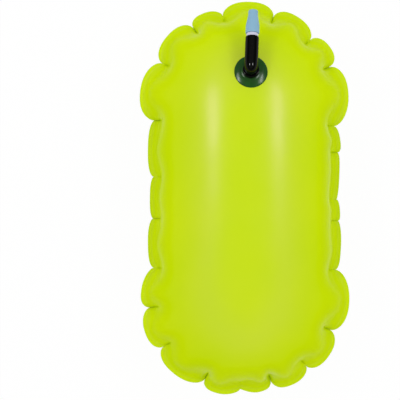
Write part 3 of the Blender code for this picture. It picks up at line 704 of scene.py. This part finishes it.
def corner_reach(angle):
    """How far the bend's outer side stands from its middle line: a round corner, fuller than the bend."""
    side = BEND_RADIUS + TUBE_RADIUS
    inset = side - CORNER_ROUNDING
    near = min(angle, math.pi / 2 - angle)
    if side * math.tan(near) <= inset:
        return side / math.cos(near) - BEND_RADIUS
    along = inset * (math.cos(angle) + math.sin(angle))
    beside = inset * (math.cos(angle) - math.sin(angle))
    return along + math.sqrt(CORNER_ROUNDING**2 - beside**2) - BEND_RADIUS


def make_elbow(axis, material):
    """The elbow and its tube, turned straight, cut across, given its part line, and then bent."""
    leg = TUBE_RISE - BEND_RADIUS
    bend = BEND_RADIUS * math.pi / 2
    end = leg + bend + TUBE_LENGTH - BEND_RADIUS
    edge = 0.2 * MM
    corners = [
        (NECK_RADIUS, FOOT_LOW, 0), (FOOT_RADIUS, FOOT_LOW, edge), (FOOT_RADIUS, FOOT_TOP, edge),
        (TUBE_RADIUS, FOOT_TOP, edge), (TUBE_RADIUS, end, 1.5 * MM), (POCKET_RADIUS, end, edge),
        (POCKET_RADIUS, end - POCKET_DEPTH, 0), (AIRWAY_RADIUS, end - POCKET_DEPTH, edge),
        (AIRWAY_RADIUS, NECK_TOP, 0), (NECK_RADIUS, NECK_TOP, 0),
    ]
    bm = turned(eased(corners, 8), FINE_SIDES)
    cuts = [leg + bend * step / BEND_CUTS for step in range(BEND_CUTS + 1)]
    cuts += [leg - TUBE_CUT * step for step in range(1, LEG_CUTS + 1)]
    cuts += [leg + bend + TUBE_CUT * step for step in range(1, ARM_CUTS + 1)]
    for height in cuts:
        cut = (0, 0, height)
        bmesh.ops.bisect_plane(
            bm, geom=bm.verts[:] + bm.edges[:] + bm.faces[:], dist=MERGE, plane_co=cut, plane_no=(0, 0, 1)
        )
    for vert in bm.verts:
        if abs(vert.co.y) < MERGE and math.hypot(vert.co.x, vert.co.y) > TUBE_RADIUS - MERGE:
            vert.co.x += math.copysign(PART_LINE, vert.co.x)
    for vert in bm.verts:
        across, deep, along = vert.co
        angle = min(max((along - leg) / BEND_RADIUS, 0), math.pi / 2)
        beyond = max(along - leg - bend, 0)
        if along > leg:
            aim = Vector((0, math.sin(angle), math.cos(angle)))
            middle = Vector((0, BEND_RADIUS * (1 - math.cos(angle)), leg + BEND_RADIUS * math.sin(angle)))
            side = Vector((0, math.cos(angle), -math.sin(angle)))
            if deep < 0 and math.hypot(across, deep) > TUBE_RADIUS - MERGE:
                deep *= corner_reach(angle) / TUBE_RADIUS
            vert.co = middle + aim * beyond + Vector((across, 0, 0)) + side * deep
    return add_piece("elbow_tube", put(bm, axis), material, "elbow", "black_gloss", "inflation_elbow")


def make_core(tube, material):
    """The core: its shank in the tube, the white collar that shows, the stem and the plug."""
    low = TUBE_LENGTH - CORE_DEPTH
    collar = TUBE_LENGTH + RUNNING_GAP
    stem = collar + CORE_COLLAR_HEIGHT
    shoulder = stem + CORE_STEM_LENGTH
    roof, tip = shoulder - CORE_END_WALL, shoulder + PLUG_HEIGHT
    shank, belly, belly_height = 6.3 * MM, 7.6 * MM, 2.4 * MM
    corners = [
        (0, roof, 0), (CORE_BORE, roof, 0.2 * MM), (CORE_BORE, low, 0.2 * MM),
        (shank, low, 0.3 * MM), (shank, collar, 0), (CORE_COLLAR_RADIUS, collar, 0.3 * MM),
        (belly, collar + belly_height, 0.5 * MM),
        (CORE_COLLAR_RADIUS, stem, 0.3 * MM), (CORE_STEM_RADIUS, stem, 0.2 * MM),
        (CORE_STEM_RADIUS, shoulder, 0.4 * MM), (CORE_BORE, shoulder, 0), (CORE_BORE, tip, 0.6 * MM),
        (0, tip, 0),
    ]
    bm = turned(eased(corners), FINE_SIDES)
    return add_piece("white_core", put(bm, tube), material, "elbow", "white_plastic", "valve_core")


def make_mouthpiece(tube, material):
    """The bottle-shaped mouthpiece, hollow, with soft shoulders and a rolled lip."""
    base = TUBE_LENGTH + CORE_COLLAR_HEIGHT + 2 * RUNNING_GAP
    outer = [
        (8.3, 0), (8.5, 0.1), (8.6, 0.5), (8.65, 3), (8.65, 6), (8.62, 9), (8.5, 10.8), (8.25, 12.6),
        (7.85, 14.8), (7.4, 17.2), (6.95, 19.6), (6.6, 21.6), (6.35, 23.2), (6.2, 24.6), (6.12, 26.4),
        (6.1, 28.6), (6.05, 29.8), (5.85, 30.5), (5.4, 30.9), (4.9, 31), (3.7, 31), (3.35, 30.85),
        (3.2, 30.5),
    ]
    inner = [
        (3.2, 18.2), (5.9, 18.2), (5.9, 9.2), (5.1, 9.2), (5.1, 4.4), (6.9, 4.4), (6.9, 2.4), (5.1, 2.4),
        (5.1, 0),
    ]
    outline = [Vector((radius * MM, base + height * MM)) for radius, height in outer + inner]
    bm = put(turned(outline, FINE_SIDES), tube)
    return add_piece("bottle_mouthpiece", bm, material, "mouthpiece", "blue_plastic", "mouthpiece")


def make_spring(tube, material):
    """The check valve's coil spring: one round wire that shortens as the poppet opens."""
    steps = SPRING_CUTS * SPRING_TURNS
    rise = (SPRING_HIGH - SPRING_LOW - 2 * SPRING_WIRE) / steps
    start = Matrix.Translation((SPRING_RADIUS, 0, SPRING_LOW + SPRING_WIRE))
    upright = Matrix.Rotation(math.pi / 2, 4, "X")
    bm = bmesh.new()
    bmesh.ops.create_circle(bm, segments=12, radius=SPRING_WIRE, matrix=start @ upright)
    bmesh.ops.spin(
        bm, geom=bm.verts[:] + bm.edges[:], cent=(0, 0, 0), axis=(0, 0, 1), dvec=(0, 0, rise),
        angle=TAU * SPRING_TURNS, steps=steps,
    )
    bmesh.ops.holes_fill(bm, edges=[edge for edge in bm.edges if edge.is_boundary], sides=12)
    bmesh.ops.recalc_face_normals(bm, faces=bm.faces)
    spring = add_piece("coil_spring", put(bm, tube), material, "elbow", "spring_steel", "poppet_spring")
    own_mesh(spring)


# The tow point


def tow_frame():
    """The tow pad's own frame: on the film under its flat face, heading for the bag's near end."""
    faces = frame["nodes"]["tow_pad"].data.polygons
    out = max(faces, key=lambda face: face.area).normal.copy()
    flat = [face for face in faces if face.normal.dot(out) > FLAT_ENOUGH]
    middle = sum((face.center * face.area for face in flat), Vector()) / sum(face.area for face in flat)
    away = (Vector((0, -1, 0)) + out * out.y).normalized()
    return own_frame(away.cross(out), away, out, middle - out * TOW_PAD_THICKNESS)


def make_tow_pad(face, tree, material):
    """The pad welded to the rear film, with a pressed ring round a flat middle."""
    steps = 12
    outline = [Vector((TOW_PAD_RADIUS * step / steps, 0)) for step in range(steps + 1)]
    outline += [
        Vector((radius * MM, height * MM))
        for radius, height in (
            (22.1, 0.3), (22, 0.65), (21.6, 0.85), (20.8, 0.95), (19.2, 0.98), (18.6, 0.72), (17.8, 0.62),
            (17, 0.74), (16.4, 1.0), (15.6, 1.18), (14.8, 1.2), (0, 1.2),
        )
    ]
    bm = turned(outline, SIDES)
    flat_middle = 15 * MM
    drape(
        [vert for vert in bm.verts if vert.co.xy.length > flat_middle or vert.co.z < 0.5 * MM], face, tree
    )
    return add_piece("tow_patch", put(bm, face), material, "bag", "yellow_film", "tow_pad")


def strap_line():
    """The folded webbing's middle line in the pad's frame, as (along, height). Its eye holds the bar."""
    low = TOW_PAD_THICKNESS + WEBBING_GAP + WEBBING_THICKNESS / 2
    high = low + WEBBING_THICKNESS + WEBBING_GAP
    under, round_eye, over = 12, 20, 10
    bar = Vector((WEBBING_RUN / 2, low + WEBBING_EYE))
    last = math.pi + math.asin((bar.y - high) / WEBBING_EYE)
    line = [Vector((-WEBBING_RUN / 2 + WEBBING_RUN * step / under, low)) for step in range(under)]
    for step in range(round_eye + 1):
        angle = -math.pi / 2 + (last + math.pi / 2) * step / round_eye
        line.append(bar + WEBBING_EYE * Vector((math.cos(angle), math.sin(angle))))
    start = line[-1]
    end = Vector((-WEBBING_RUN / 2, high))
    line += [start.lerp(end, step / over) for step in range(1, over + 1)]
    return line


def make_tow_loop(face, material):
    """The webbing: a flat strap laid along its folded line, thickened, with rounded selvedges."""
    line = strap_line()
    lengths = [0]
    for before, after in zip(line, line[1:]):
        lengths.append(lengths[-1] + (after - before).length)
    bm = bmesh.new()
    strap = bm.loops.layers.uv.new("strap")
    across = 16
    bmesh.ops.create_grid(bm, x_segments=across, y_segments=len(line) - 1, size=1)
    for vert in bm.verts:
        row = round((vert.co.y + 1) / 2 * (len(line) - 1))
        aside = vert.co.x
        for loop in vert.link_loops:
            loop[strap].uv = (aside * WEBBING_WIDTH / 2, lengths[row])
        vert.co = (aside * WEBBING_WIDTH / 2, line[row].x, line[row].y)
    loop = add_piece("webbing_loop", put(bm, face), material, "bag", "black_webbing", "tow_loop")
    skin = loop.modifiers.new("webbing", "SOLIDIFY")
    skin.thickness = WEBBING_THICKNESS
    skin.offset = 0
    rounded = loop.modifiers.new("selvedge", "BEVEL")
    rounded.width = SELVEDGE
    rounded.segments = 3
    return loop


def make_stitches(face, material):
    """Rows of lock stitches that sew the webbing down, in a box with a cross."""
    high = TOW_PAD_THICKNESS + 2 * WEBBING_GAP + 2 * WEBBING_THICKNESS
    corners = [Vector(corner) for corner in ((-7.5, -8), (7.5, -8), (7.5, 4), (-7.5, 4))]
    runs = list(zip(corners, corners[1:] + corners[:1]))
    runs += [(corners[0], corners[2]), (corners[1], corners[3])]
    size = Matrix.Diagonal((0.95 * MM, 0.3 * MM, 0.26 * MM, 1))
    bm = bmesh.new()
    for start, end in runs:
        start, end = start * MM, end * MM
        count = round((end - start).length / STITCH_PITCH)
        heading = math.atan2(*(end - start).yx)
        for stitch in range(count):
            middle = start.lerp(end, (stitch + 0.5) / count)
            place = Matrix.Translation((*middle, high)) @ Matrix.Rotation(heading, 4, "Z")
            bmesh.ops.create_uvsphere(bm, u_segments=8, v_segments=6, radius=1, matrix=place @ size)
    return add_piece("box_stitching", put(bm, face), material, "bag", "black_webbing")


def make_tow_ring(spot, material):
    """The moulded D-ring: an eight-sided section, turned round each corner, drawn on and smoothed."""
    thick, flat = RING_HALF_THICKNESS, RING_FLAT
    section = [
        (thick, flat), (flat, thick), (-flat, thick), (-thick, flat),
        (-thick, -flat), (-flat, -thick), (flat, -thick), (thick, -flat),
    ]
    half = WEBBING_WIDTH / 2 + RING_SIDE_GAP + thick
    reach = RING_OPENING + 2 * thick
    corners = [
        (Vector((half - BAR_CORNER, 0, -BAR_CORNER)), BAR_CORNER),
        (Vector((half - BOW_CORNER, 0, BOW_CORNER - reach)), BOW_CORNER),
    ]
    corners += [(middle * Vector((-1, 1, 1)), radius) for middle, radius in reversed(corners)]
    outward = Vector((0, 0, 1))
    quarter_turn = Matrix.Rotation(math.pi / 2, 3, "Y")
    start = corners[0][0] + outward * corners[0][1]
    bm = bmesh.new()
    points = [bm.verts.new(start + Vector((0, side, out))) for out, side in section]
    edges = [bm.edges.new(pair) for pair in zip(points, points[1:] + points[:1])]
    for (middle, radius), (next_middle, next_radius) in zip(corners, corners[1:] + corners[:1]):
        last = bmesh.ops.spin(
            bm, geom=points + edges, cent=middle, axis=(0, 1, 0), angle=math.pi / 2, steps=CORNER_CUTS
        )["geom_last"]
        edges = [part for part in last if isinstance(part, bmesh.types.BMEdge)]
        drawn = bmesh.ops.extrude_edge_only(bm, edges=edges)["geom"]
        points = [part for part in drawn if isinstance(part, bmesh.types.BMVert)]
        edges = [part for part in drawn if isinstance(part, bmesh.types.BMEdge)]
        outward = quarter_turn @ outward
        run = next_middle - middle + outward * (next_radius - radius)
        bmesh.ops.translate(bm, vec=run, verts=points)
    bmesh.ops.remove_doubles(bm, verts=bm.verts, dist=MERGE)
    bmesh.ops.recalc_face_normals(bm, faces=bm.faces)
    put(bm, Matrix.Translation(spot))
    ring = add_piece("moulded_d_ring", bm, material, "tow_ring", "black_gloss", "tow_ring", sharp=math.pi)
    smooth = ring.modifiers.new("smooth", "SUBSURF")
    smooth.levels = 2
    smooth.render_levels = 2
    return ring


# The studio


def make_world():
    """A studio that lights from a bright ring high up, over a dimmer horizon and under a dark zenith.

    Gloss and glass see it white at the horizon and dark above, and the camera sees it white.
    """
    world = bpy.data.worlds.new("studio")
    world.use_nodes = True
    tree = world.node_tree
    sky = add_node(tree, "ShaderNodeTexCoord").outputs["Generated"]
    height = add_node(tree, "ShaderNodeSeparateXYZ", {"Vector": sky}).outputs["Z"]
    dome = add_node(tree, "ShaderNodeValToRGB", {"Fac": height})
    dome.color_ramp.interpolation = "EASE"
    stops = dome.color_ramp.elements
    stops[1].position = DOME_LIGHT[1][0]
    for stop, (place, strength) in zip(stops, DOME_LIGHT):
        stop.color = (strength, strength, strength, 1)
    for place, strength in DOME_LIGHT[2:]:
        stops.new(place).color = (strength, strength, strength, 1)
    lit = tree.nodes["Background"]
    lit.inputs["Strength"].default_value = 1
    tree.links.new(dome.outputs["Color"], lit.inputs["Color"])
    low = add_node(
        tree, "ShaderNodeMapRange",
        {"Value": height, "From Min": 0, "From Max": MIRRORED_RISE, "To Min": 1, "To Max": MIRRORED},
        interpolation_type="SMOOTHSTEP",
    ).outputs["Result"]
    backdrop = add_node(tree, "ShaderNodeBackground", {"Color": WHITE, "Strength": low})
    white = add_node(tree, "ShaderNodeBackground", {"Color": WHITE, "Strength": 1})
    rays = add_node(tree, "ShaderNodeLightPath").outputs
    mirrored = maths(tree, "MAXIMUM", rays["Is Glossy Ray"], rays["Is Transmission Ray"])
    shown = mixed(tree, mirrored, lit.outputs[0], backdrop.outputs[0])
    shown = mixed(tree, rays["Is Camera Ray"], shown, white.outputs[0])
    tree.links.new(shown, tree.nodes["World Output"].inputs["Surface"])
    bpy.context.scene.world = world


def make_floor():
    """A plain white floor that keeps a soft shadow. The camera, gloss and glass see it almost white."""
    bm = bmesh.new()
    bmesh.ops.create_grid(bm, x_segments=1, y_segments=1, size=12)
    mesh = bpy.data.meshes.new("studio_floor")
    bm.to_mesh(mesh)
    bm.free()
    paint = Finish("white_floor", (0.9, 0.9, 0.9), 0.9, Specular_IOR_Level=0)
    tree = paint.tree
    rays = add_node(tree, "ShaderNodeLightPath").outputs
    seen = maths(tree, "MAXIMUM", rays["Is Camera Ray"], rays["Is Glossy Ray"])
    seen = maths(tree, "MAXIMUM", seen, rays["Is Transmission Ray"])
    white = add_node(tree, "ShaderNodeEmission", {"Color": WHITE, "Strength": 1})
    share = maths(tree, "MULTIPLY", seen, FLOOR_WHITENESS)
    shown = mixed(tree, share, paint.shader.outputs[0], white.outputs[0])
    tree.links.new(shown, tree.nodes["Material Output"].inputs["Surface"])
    mesh.materials.append(paint.material)
    floor = bpy.data.objects.new("studio_floor", mesh)
    bpy.context.scene.collection.objects.link(floor)


def make_softbox(name, place, size, power):
    """A soft rectangular lamp, aimed at the bag's valve end."""
    light = bpy.data.lights.new(name, "AREA")
    light.shape = "RECTANGLE"
    light.size, light.size_y = size
    light.energy = power
    lamp = bpy.data.objects.new(name, light)
    lamp.location = place
    aim = Vector((0, place[1] / 2, 0.1)) - Vector(place)
    lamp.rotation_euler = aim.to_track_quat("-Z", "Y").to_euler()
    bpy.context.scene.collection.objects.link(lamp)


def make_camera():
    camera = bpy.data.cameras.new("photographer")
    camera.sensor_width = 36
    camera.lens = CAMERA_LENS
    camera.clip_end = 50
    shot = bpy.data.objects.new("photographer", camera)
    shot.location = CAMERA_PLACE
    bpy.context.scene.collection.objects.link(shot)
    bpy.context.scene.camera = shot


def refinish(finishes):
    """Gives the CAD nodes that stay, all inside the valve, their real finishes."""
    for node, finish in finishes.items():
        for holder in frame["nodes"][node].material_slots:
            holder.material = finish


def main():
    film = film_finish()
    black = gloss_finish()
    white = white_finish()
    rubber = rubber_finish()
    webbing = webbing_finish()
    centre = outline_centre()
    front = lay_film("front_film", "front_panel", 1, centre, film)
    rear = lay_film("rear_film", "rear_panel", -1, centre, film)

    joints = {joint["name"]: joint for joint in frame["joints"]}
    out = Vector(joints["elbow_swivel"]["axis"]).normalized()
    forward = Vector(joints["mouthpiece_twist"]["axis"]).normalized()
    across = forward.cross(out)
    axis = own_frame(across, forward, out, Vector(joints["elbow_swivel"]["pos_m"]))
    tube = own_frame(across, -out, forward, Vector(joints["mouthpiece_twist"]["pos_m"]))
    make_flange(axis, surface_of(front), flange_finish())
    make_collar(axis, black)
    make_elbow(axis, black)
    make_core(tube, white)
    make_mouthpiece(tube, mouthpiece_finish())
    make_spring(tube, spring_finish())

    face = tow_frame()
    make_tow_pad(face, surface_of(rear), film)
    make_tow_loop(face, webbing)
    make_stitches(face, thread_finish())
    make_tow_ring(Vector(joints["tow_ring_swing"]["pos_m"]), black)
    refinish({
        "neck_o_ring": rubber, "check_retainer": black, "check_seat": white, "poppet_washer": rubber,
        "check_poppet": white, "plug_o_ring": rubber, "mouthpiece_seal": rubber,
    })

    make_world()
    make_floor()
    make_softbox("left_softbox", (-0.94, 0.47, 1.65), (0.7, 0.3), 3.7)
    make_softbox("right_softbox", (0.94, 0.47, 1.65), (0.7, 0.3), 3.5)
    make_camera()
    bpy.context.scene.view_settings.view_transform = "Standard"


main()
